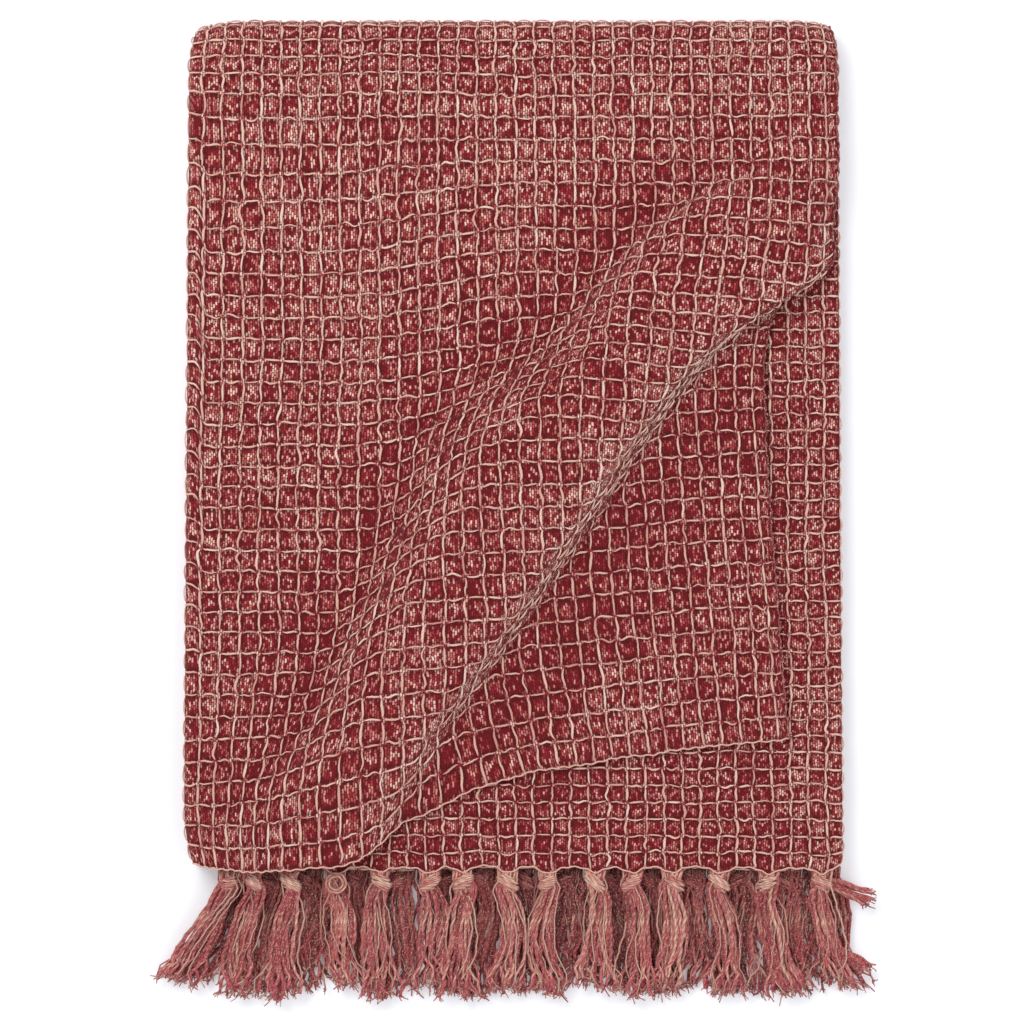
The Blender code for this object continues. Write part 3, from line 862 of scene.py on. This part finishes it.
def floatGrid(patch, alongWarp, columns, rows):
    # one yarn for each cell side, straight in cell numbers but for a bow away from the puffier
    # cell, a tilt and a small S; lift = (rise + sunk) * sin(pi t) ** 0.6 - sunk over its length;
    # narrower, and fewer of them, where the cloth is drawn in
    i, j = (grid.ravel().astype(float) for grid in np.meshgrid(columns, rows))
    t = np.linspace(0.0, 1.0, floats["rings"])[None, :]
    random = np.random.default_rng((31 if patch == "wide" else 41) + (0 if alongWarp else 5))
    hump = np.sin(np.pi * t)
    stepI, stepJ = (0.5, 0.0) if alongWarp else (0.0, 0.5)
    before = cellTable(i + 0.5 * (1 - 4 * stepI), j + 0.5 * (1 - 4 * stepJ), 22)
    bow = floats["bow"] * (before - cellTable(i + 0.5, j + 0.5, 22))
    bow = bow + random.normal(0.0, 0.028, len(i))
    gap = floats["warpGap"] if alongWarp else floats["weftGap"]
    starts = gap + random.uniform(-0.05, 0.05, len(i))
    ends = 1.0 - gap + random.uniform(-0.05, 0.05, len(i))
    run = starts[:, None] + (ends - starts)[:, None] * t
    stray = bow[:, None] * hump + random.normal(0.0, 0.050, (len(i), 1)) * (t - 0.5)
    stray = stray + floats["offset"] * random.uniform(-1.0, 1.0, (len(i), 1))
    stray = stray + random.normal(0.0, 0.006, stray.shape)
    bend = floats["bend"] * random.normal(0.0, 1.0, (len(i), 1))
    stray = stray + bend * np.sin(2 * np.pi * t + random.uniform(-1.0, 1.0, (len(i), 1)))
    if alongWarp:
        a, b = i[:, None] + stray, j[:, None] + run
    else:
        a, b = i[:, None] + run, j[:, None] + stray
    height = (floats["rise"] + floats["sunk"]) * random.uniform(0.75, 1.25, (len(i), 1))
    centres, normals = clothPoint(*clothAt(patch, a, b), height * hump**0.6 - floats["sunk"])
    taper = 0.42 + 0.58 * hump**0.6
    wide = floats["warpWide"] if alongWarp else floats["weftWide"]
    wide = wide * taper * random.uniform(0.7, 1.2, (len(i), 1))
    middle = floats["rings"] // 2
    # tint of each float, with part of the roll's painted light and shade
    tints = random.normal(0.55, 0.24, len(i)) + 0.15 * toneAndPaintedShading(centres[:, middle])
    tints = np.clip(tints, 0.0, 1.0)
    room = crowding(*clothAt(patch, a[:, middle], b[:, middle]))
    wide = wide * (0.75 + 0.25 * softStep((room - 0.30) / 0.40))[:, None]
    buried = floats["buried"][0 if alongWarp else 1] * (1.0 - softStep((room - 0.40) / 0.25))
    seen = random.uniform(0.0, 1.0, len(i)) > buried
    tall = np.broadcast_to(floats["tall"] * taper, wide.shape)
    return tuple(values[seen] for values in (centres, normals, wide, tall, tints))


def joinedFloats(name, parts, keeps):
    # several grids of floats as one piece, each with a rule for which of them are kept
    kept = []
    for part, keep in zip(parts, keeps):
        chosen = keep(part[0][:, floats["rings"] // 2])
        kept.append([values[chosen] for values in part])
    centres, normals, wide, tall, tints = (np.concatenate(group) for group in zip(*kept))
    piece = tubes(name, centres, normals, wide, tall, tints, floatMaterial)
    print(name, len(tints), "floats")
    return piece


def everyOne(spots):
    # keeps all floats
    return np.ones(len(spots), bool)


def uncovered(spots):
    # the part of the narrow flap that the wide flap leaves in sight
    x, y = spots[:, 0], spots[:, 1]
    shows = (x > floats["rightOf"]) | (y < floats["nearerThan"])
    return shows | (y > fold["far"] - floats["atFarFold"])


wideColumns = int(round(patches["wide"][2][1][-1]))
wideRows = int(round(patches["wide"][3][1][-1]))
narrowColumns = int(round(patches["narrow"][2][1][-1]))
narrowRows = int(round(patches["narrow"][3][1][-1]))
warpParts = [
    floatGrid("wide", True, np.arange(0, wideColumns), np.arange(-2, wideRows)),
    floatGrid("wide", True, np.arange(0, 2), np.arange(-wideRows, -2)),
    floatGrid("narrow", True, np.arange(0, narrowColumns), np.arange(0, narrowRows)),
    floatGrid("narrow", True, np.arange(0, 1), np.arange(-narrowRows, 0)),
]
weftParts = [
    floatGrid("wide", False, np.arange(0, wideColumns), np.arange(-2, wideRows)),
    floatGrid("wide", False, np.arange(-1, 1), np.arange(-wideRows, -2)),
    floatGrid("narrow", False, np.arange(-1, narrowColumns), np.arange(0, narrowRows)),
    floatGrid("narrow", False, np.arange(-1, 1), np.arange(-narrowRows, 0)),
]
keeps = [everyOne, everyOne, uncovered, everyOne]
warpFloats = joinedFloats("warpFloats", warpParts, keeps)
weftFloats = joinedFloats("weftFloats", weftParts, keeps)

# The yarns bound round the edges of the cloth
edge = {"yarn": 0.00062, "off": 0.00045, "twist": 0.0095, "steps": 1100}


def edgePath(uPath, vPath):
    # one yarn wound round the cloth's edge: base + off * (side * cos(spin) + normal * sin(spin)),
    # where spin = 2 pi length / twist
    steps = np.hypot(np.diff(uPath), np.diff(vPath))
    spin = 2 * np.pi * np.concatenate(((0.0,), np.cumsum(steps)))[:, None] / edge["twist"]
    base, normal = clothPoint(uPath, vPath, np.zeros(len(uPath)))
    ahead = np.gradient(base, axis=0)
    ahead /= np.linalg.norm(ahead, axis=-1, keepdims=True)
    side = np.cross(ahead, normal)
    return base + edge["off"] * (np.cos(spin) * side + np.sin(spin) * normal), normal


def edgeYarn(name, paths, tint, material):
    # the same binding along several edges, as one piece
    centres, normals = (np.stack(group) for group in zip(*(edgePath(*path) for path in paths)))
    tints = np.full(len(paths), tint)
    piece = tubes(name, centres, normals, edge["yarn"], edge["yarn"], tints, material, 5)
    return piece


acrossPath, alongPath = (np.linspace(0.0, size, edge["steps"]) for size in (flatWidth, flatLength))
hemYarn = edgeYarn(
    "hemYarn",
    [(acrossPath, np.full(edge["steps"], place)) for place in (0.0, flatLength)],
    0.6,
    floatMaterial,
)
selvedgeYarn = edgeYarn(
    "selvedgeYarn",
    [(np.full(edge["steps"], place), alongPath) for place in (0.0, flatWidth)],
    0.1,
    fringeMaterial,
)
print("edges bound")

# The knotted fringe
fringe = {
    "rings": 22,
    "fineStrands": 4,  # thin beige strands among the others
    "fineYarn": 0.00065,
    "fineAbove": 0.0014,  # they lie this far above the rest
    "bundleWave": 0.0034,  # slow waves that the strands of a tassel share
    "wave": 0.0009,  # and those of each strand alone
    "ripple": 0.00055,
    "curl": 0.0056,
    "knotDrop": 0.0088,
    "knotWide": 0.0068,
    "knotTall": 0.0055,
    "wraps": 7,
    "wrapStep": 0.0015,
    "wrapYarn": (0.00092, 0.00086),  # width and height of a strand of the knot
    "loopAt": 3,  # the tassel whose knot is a round loop
    "loopRadii": (0.0072, 0.0050),
    "loopHeight": 0.0052,  # above the middle of the knot
    "frays": 5,  # fibres at the end of each strand
    "frayLength": 0.0046,
    "frayYarn": 0.00056,
    "looseBundles": 40,  # bundles between the lower tassels that no knot holds
    "looseStrands": 5,
    "looseLength": 0.066,
    "looseReach": (-0.012, 0.002),  # how far past the first and last knot they stand
    "looseWidths": (0.0070, 0.0070, 0.0085, 0.0100),
    "tuftStrands": 11,
    "tuftHeight": 0.014,
    "pastSides": 0.008,  # how far strands may reach past the box of their solid
    "pastTips": 0.003,
    "pastTop": 0.001,
    "offFloor": 0.0016,  # least height of the middle of a strand
    "rightmost": 0.228,  # no knot lies further right
}
# x and y of the start and tip of the two tufts that stick out at the right
tufts = ((0.229, -0.267, 0.264, -0.281), (0.238, -0.318, 0.260, -0.332))
# Each comb: height of its hem, height of its knots and of its tips, shift of its tassels, strands
# in each and their radius, half width of a tassel at the hem, at its knot, a quarter down and at
# its tips, the painted shade of its strands and that of its knots (the lower comb lies in the upper
# one's shade), and the start of its random values
combs = {
    "upperFringe": {
        "node": "fringe_upper",
        "hemHeight": middleZ + fold["narrowPly"] * fold["pitch"] - 0.001,
        "heights": (0.0195, 0.0146),
        "shift": 0.0,
        "strands": (14, 0.00146),
        "halfWidths": (0.0066, 0.0054, 0.0076, 0.0104),
        "shade": 0.0,
        "knotShade": 0.0,
        "seed": 51,
    },
    "lowerFringe": {
        "node": "fringe_lower",
        "hemHeight": 0.0062,
        "heights": (0.0062, 0.0042),
        "shift": 0.011,
        "strands": (22, 0.00136),
        "halfWidths": (0.0125, 0.0110, 0.0138, 0.0165),
        # painted shade: this comb lies beneath the upper one
        "shade": -0.18,
        "knotShade": -0.60,
        "seed": 52,
    },
}


def strandPaths(row, heights, hemZ, count, halfWidths, random):
    # each strand runs from the hem into the knot and fans out below it to its own cut end, with
    # waves of its own that grow into curls at its end
    knotX, lean, length = row
    spineZ, tipZ = heights
    spread = np.linspace(-1.0, 1.0, count) + random.normal(0.0, 0.06, count)
    layer = random.uniform(-1.0, 1.0, count)
    drop, still = -fringe["knotDrop"], np.zeros(count)
    atHem, neck, quarter, tip = (half + random.normal(0.0, 0.0006) for half in halfWidths)
    uneven = tableNoise(knotX + spread * tip + 1.0, length + 0.0 * spread, 0.016, 71)
    cut = length * random.uniform(0.88, 1.0, count) * (0.96 + 0.06 * uneven)
    sway = random.normal(0.0, 0.0012, (2, count))
    _, _, hemZ = laidOut(knotX, fold["hem"], hemZ)
    corners = (
        # sideways, beyond the hem, height
        (spread * atHem, still + 0.001, hemZ - 0.0022 + 0.0004 * layer),
        (spread * 0.5 * (atHem + neck), still - 0.003, 0.5 * (hemZ + spineZ) + 0.0014 * layer),
        (spread * neck, still + drop + 0.002, spineZ + 0.0028 * layer),
        (spread * neck * 1.1, still + drop - 0.006, spineZ + 0.0030 * layer),
        (spread * quarter + lean * 0.15 + sway[0] * 0.5, drop - 0.24 * cut, spineZ + 0.0036 * layer),
        (spread * 0.85 * tip + lean * 0.50 + sway[0], drop - 0.54 * cut, 0.5 * (spineZ + tipZ)),
        (spread * 0.95 * tip + lean * 0.82 + sway[1], drop - 0.80 * cut, tipZ + 0.0034 * layer),
        (spread * 1.05 * tip + lean + sway[1] * 1.6, drop - cut, tipZ + 0.0030 * layer),
    )
    corners = [np.stack(np.broadcast_arrays(knotX + x, fold["hem"] + y, z), -1) for x, y, z in corners]
    path = softCurve(np.stack(corners), 4)
    spots = np.linspace(0.0, len(path) - 1.0, fringe["rings"])
    low = np.minimum(spots.astype(int), len(path) - 2)
    share = (spots - low)[:, None, None]
    path = np.moveaxis(path[low] * (1 - share) + path[low + 1] * share, 0, 1)
    t = np.linspace(0.0, 1.0, fringe["rings"])[None, :]
    phases = random.uniform(0.0, 2 * np.pi, (3, count, 1))
    rates = random.uniform(1.5, 3.5, (3, count, 1))
    grown = softStep((t - 0.35) / 0.25)
    curled = fringe["curl"] * softStep((t - 0.84) / 0.16)
    wave = (fringe["wave"] * grown + curled) * np.sin(2 * np.pi * rates * t + phases)[0]
    ripple = fringe["ripple"] * grown * np.sin(2 * np.pi * 3.2 * rates[1] * t + phases[1])
    turns, phase = random.uniform(0.9, 1.8), random.uniform(0.0, 2 * np.pi)
    shared = softStep((t - 0.20) / 0.20) * np.sin(2 * np.pi * turns * t + phase)
    path[..., 0] += wave + ripple + fringe["bundleWave"] * shared
    path[..., 2] += 0.5 * (fringe["wave"] * grown + 0.5 * curled) * np.sin(
        2 * np.pi * rates[2] * t + phases[2]
    )
    return path


def knotWraps(row, spineZ, random):
    # strands laid round the knot: tilted ellipses about its axis, side by side
    knotX = row[0] + random.normal(0.0, 0.0008)
    angle = np.linspace(0.0, 2 * np.pi, 17)[None, :]
    place = (np.arange(fringe["wraps"]) - 0.5 * (fringe["wraps"] - 1))[:, None]
    tilt = random.choice((-1.0, 1.0)) * random.uniform(0.4, 1.0)
    tilt = tilt + random.normal(0.0, 0.15, (fringe["wraps"], 1))
    wide = fringe["knotWide"] * (1.0 - 0.05 * place**2) * random.uniform(0.9, 1.15)
    tall = fringe["knotTall"] * (1.0 - 0.05 * place**2)
    x = knotX + wide * np.cos(angle)
    slant = 0.6 * tilt * wide * np.cos(angle)
    y = fold["hem"] - fringe["knotDrop"] + fringe["wrapStep"] * place + slant
    z = spineZ + tall * np.sin(angle)
    path = np.stack((x, y, z), axis=-1)
    away = path - np.stack((np.full_like(x, knotX), y, np.full_like(x, spineZ)), axis=-1)
    return path, away / np.linalg.norm(away, axis=-1, keepdims=True)


def upwards(paths):
    # the same direction, straight up, at every point
    return np.broadcast_to((0.0, 0.0, 1.0), paths.shape)


def knotLoop(row, spineZ):
    # a round loop lying on the knot: two flat rings, one inside the other
    angle = np.linspace(0.0, 2 * np.pi, 17)[None, :]
    radius = np.array(fringe["loopRadii"])[:, None]
    x = row[0] + radius * np.cos(angle)
    y = fold["hem"] - fringe["knotDrop"] + radius * np.sin(angle)
    path = np.stack((x, y, np.full_like(x, spineZ + fringe["loopHeight"])), axis=-1)
    return path, upwards(path)


def tuftPaths(tuft, random):
    # strands that stick out sideways: even steps from start to tip, spread to both sides, wavy
    start, tip = np.array(tuft[:2]), np.array(tuft[2:])
    ahead = tip - start
    side = np.array((-ahead[1], ahead[0])) / np.hypot(*ahead)
    count = fringe["tuftStrands"]
    t = np.linspace(0.0, 1.0, fringe["rings"])[None, :]
    spread, level, phase, reach = random.uniform(-1.0, 1.0, (4, count, 1))
    offset = spread * (0.0030 + 0.0030 * t) + 0.0009 * t * np.sin(9.0 * t + 3.0 * phase)
    x, y = (
        start[axis] + ahead[axis] * t * (0.9 + 0.1 * reach) + side[axis] * offset for axis in (0, 1)
    )
    return np.stack((x, y, fringe["tuftHeight"] + 0.0025 * level + 0.0 * t), axis=-1)


def frayedEnds(strands, random):
    # short curved fibres that carry on from each strand's end in strayed directions
    ends = np.repeat(strands[:, -1], fringe["frays"], axis=0)
    ahead = np.repeat(strands[:, -1] - strands[:, -3], fringe["frays"], axis=0)
    ahead /= np.linalg.norm(ahead, axis=-1, keepdims=True)
    astray = random.normal(0.0, 1.0, (2, *ends.shape)) * np.array((1.0, 0.7, 0.35))
    t = np.linspace(0.0, 1.0, 6)[None, :, None]
    run = ahead[:, None] * t + 0.45 * astray[0][:, None] * t + 0.45 * astray[1][:, None] * t**2
    size = fringe["frayLength"] * random.uniform(0.4, 1.1, (len(ends), 1, 1))
    return ends[:, None] - 0.002 * ahead[:, None] + size * run


def heldIn(centres, low, high):
    # keeps strands near the box of their solid, and off the floor
    sides = fringe["pastSides"]
    centres[..., 0] = np.clip(centres[..., 0], low.x - sides, high.x + sides)
    centres[..., 1] = np.maximum(centres[..., 1], low.y - fringe["pastTips"])
    lowest, highest = low.z + fringe["offFloor"], high.z + fringe["pastTop"]
    centres[..., 2] = np.clip(centres[..., 2], lowest, highest)
    return centres


def comb(name):
    # the fringe along one folded end: strands, fine strands, frayed ends and knots
    sizes = combs[name]
    random = np.random.default_rng(sizes["seed"])
    low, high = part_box(sizes["node"])
    count, yarn = sizes["strands"]
    rows = [
        (min(x + sizes["shift"], fringe["rightmost"]), lean, length) for x, lean, length in tassels
    ]
    among = (sizes["heights"], sizes["hemHeight"])
    strands = [strandPaths(row, *among, count, sizes["halfWidths"], random) for row in rows]
    if name == "upperFringe":
        strands += [tuftPaths(tuft, random) for tuft in tufts]
    else:
        first, last = fringe["looseReach"]
        spots = np.linspace(rows[0][0] + first, rows[-1][0] + last, fringe["looseBundles"])
        leans = random.normal(0.0, 0.004, len(spots))
        lengths = fringe["looseLength"] * random.uniform(0.85, 1.1, len(spots))
        loose = (fringe["looseStrands"], fringe["looseWidths"], random)
        strands += [strandPaths(row, *among, *loose) for row in zip(spots, leans, lengths)]
    strands = heldIn(np.concatenate(strands), low, high)
    few = (fringe["fineStrands"], sizes["halfWidths"], random)
    fine = [strandPaths(row, *among, *few) for row in rows]
    fine = heldIn(np.concatenate(fine) + np.array((0.0, 0.0, fringe["fineAbove"])), low, high)
    frayed = heldIn(frayedEnds(np.concatenate((strands, fine)), random), low, high)
    # random shades of the strands, darkened by the comb's painted shade
    shades = random.choice((0.22, 0.38, 0.52, 0.74), len(strands), p=(0.30, 0.35, 0.25, 0.10))
    shades = np.clip(shades + random.normal(0.0, 0.07, len(strands)) + sizes["shade"], 0.0, 1.0)
    fineShades = np.clip(random.normal(0.9, 0.08, len(fine)) + sizes["shade"], 0.0, 1.0)
    endShades = random.choice((0.25, 0.45, 0.9), len(frayed)) + 0.5 * sizes["shade"]
    pieces = []
    for part, paths, radius, tints, sides, reach in (
        ("", strands, yarn, shades, 5, (0.0, 1.0)),
        ("Fine", fine, fringe["fineYarn"], fineShades, 4, (0.0, 0.8)),
        ("Ends", frayed, fringe["frayYarn"], np.clip(endShades, 0.0, 1.0), 3, (1.0, 1.0)),
    ):
        taper = np.linspace(1.0, 0.9, paths.shape[1])[None, :]
        wide = radius * taper * random.uniform(0.8, 1.2, (len(paths), 1))
        ups = upwards(paths)
        piece = tubes(name + part, paths, ups, wide, wide, tints, fringeMaterial, sides, reach)
        pieces.append(piece)
    knotZ = sizes["heights"][0]
    wraps = [knotWraps(row, knotZ, random) for row in rows]
    if name == "upperFringe":
        wraps[fringe["loopAt"]] = knotLoop(rows[fringe["loopAt"]], knotZ)
    paths, ups = (np.concatenate(group) for group in zip(*wraps))
    # knot shades, darkened by the comb's painted shade
    tints = np.clip(random.normal(0.84, 0.15, len(paths)) + sizes["knotShade"], 0.0, 1.0)
    knots = tubes(name + "Knots", paths, ups, *fringe["wrapYarn"], tints, fringeMaterial, 6, (0, 0.7))
    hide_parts(sizes["node"])
    pieces.append(knots)
    return pieces


upperFringe, lowerFringe = comb("upperFringe"), comb("lowerFringe")
print("fringe knotted")

# Floor, light and camera
studio = {
    "floorSize": 6.0,
    "skyColour": (0.93, 0.96, 1.0),
    "skyStrength": 0.84,
    "keyPlace": (-0.9, 1.1, 2.1),
    "keySize": 1.3,
    "keyPower": 25.2,
    "fillPlace": (1.4, -0.6, 2.2),
    "fillPower": 9.0,
    "cameraHeight": 2.5,
    "sharpHeight": 0.015,  # height at which the view is just as wide as viewWidth
    "viewWidth": 0.7475,
}


def floorSheet():
    # a level square of eight by eight faces just under the throw
    spots = np.linspace(-0.5, 0.5, 9) * studio["floorSize"]
    x, y = np.meshgrid(spots, spots)
    points = np.stack((x, y, np.full_like(x, cadLow.z - 0.0002)), axis=-1)
    number = np.arange(x.size).reshape(x.shape)
    quads = np.stack((number[:-1, :-1], number[:-1, 1:], number[1:, 1:], number[1:, :-1]), axis=-1)
    mesh = bpy.data.meshes.new("floor")
    mesh.from_pydata(points.reshape(-1, 3).tolist(), [], quads.reshape(-1, 4).tolist())
    mesh.materials.append(plainFloor())
    inScene("floor", mesh)


def areaLight(name, place, power, colour):
    # a round soft light aimed at the origin
    data = bpy.data.lights.new(name, "AREA")
    data.shape, data.size, data.energy, data.color = "DISK", studio["keySize"], power, colour
    light = inScene(name, data)
    light.location = place
    light.rotation_mode = "QUATERNION"
    light.rotation_quaternion = (-light.location).to_track_quat("-Z", "Y")


floorSheet()
areaLight("keyLight", studio["keyPlace"], studio["keyPower"], (1.0, 0.98, 0.95))
areaLight("fillLight", studio["fillPlace"], studio["fillPower"], (0.95, 0.97, 1.0))
world = bpy.data.worlds.new("studioSky")
world.use_nodes = True
world.node_tree.nodes["Background"].inputs[0].default_value = (*studio["skyColour"], 1.0)
world.node_tree.nodes["Background"].inputs[1].default_value = studio["skyStrength"]
bpy.context.scene.world = world
bpy.context.scene.view_settings.view_transform = "Standard"

cameraData = bpy.data.cameras.new("camera")
camera = inScene("camera", cameraData)
camera.location = (0.0, 0.5 * (cadLow.y + cadHigh.y) + 0.002, studio["cameraHeight"])
cameraData.sensor_width = 36.0
distance = studio["cameraHeight"] - studio["sharpHeight"]
cameraData.lens = cameraData.sensor_width * distance / studio["viewWidth"]
bpy.context.scene.camera = camera
print("stage set")
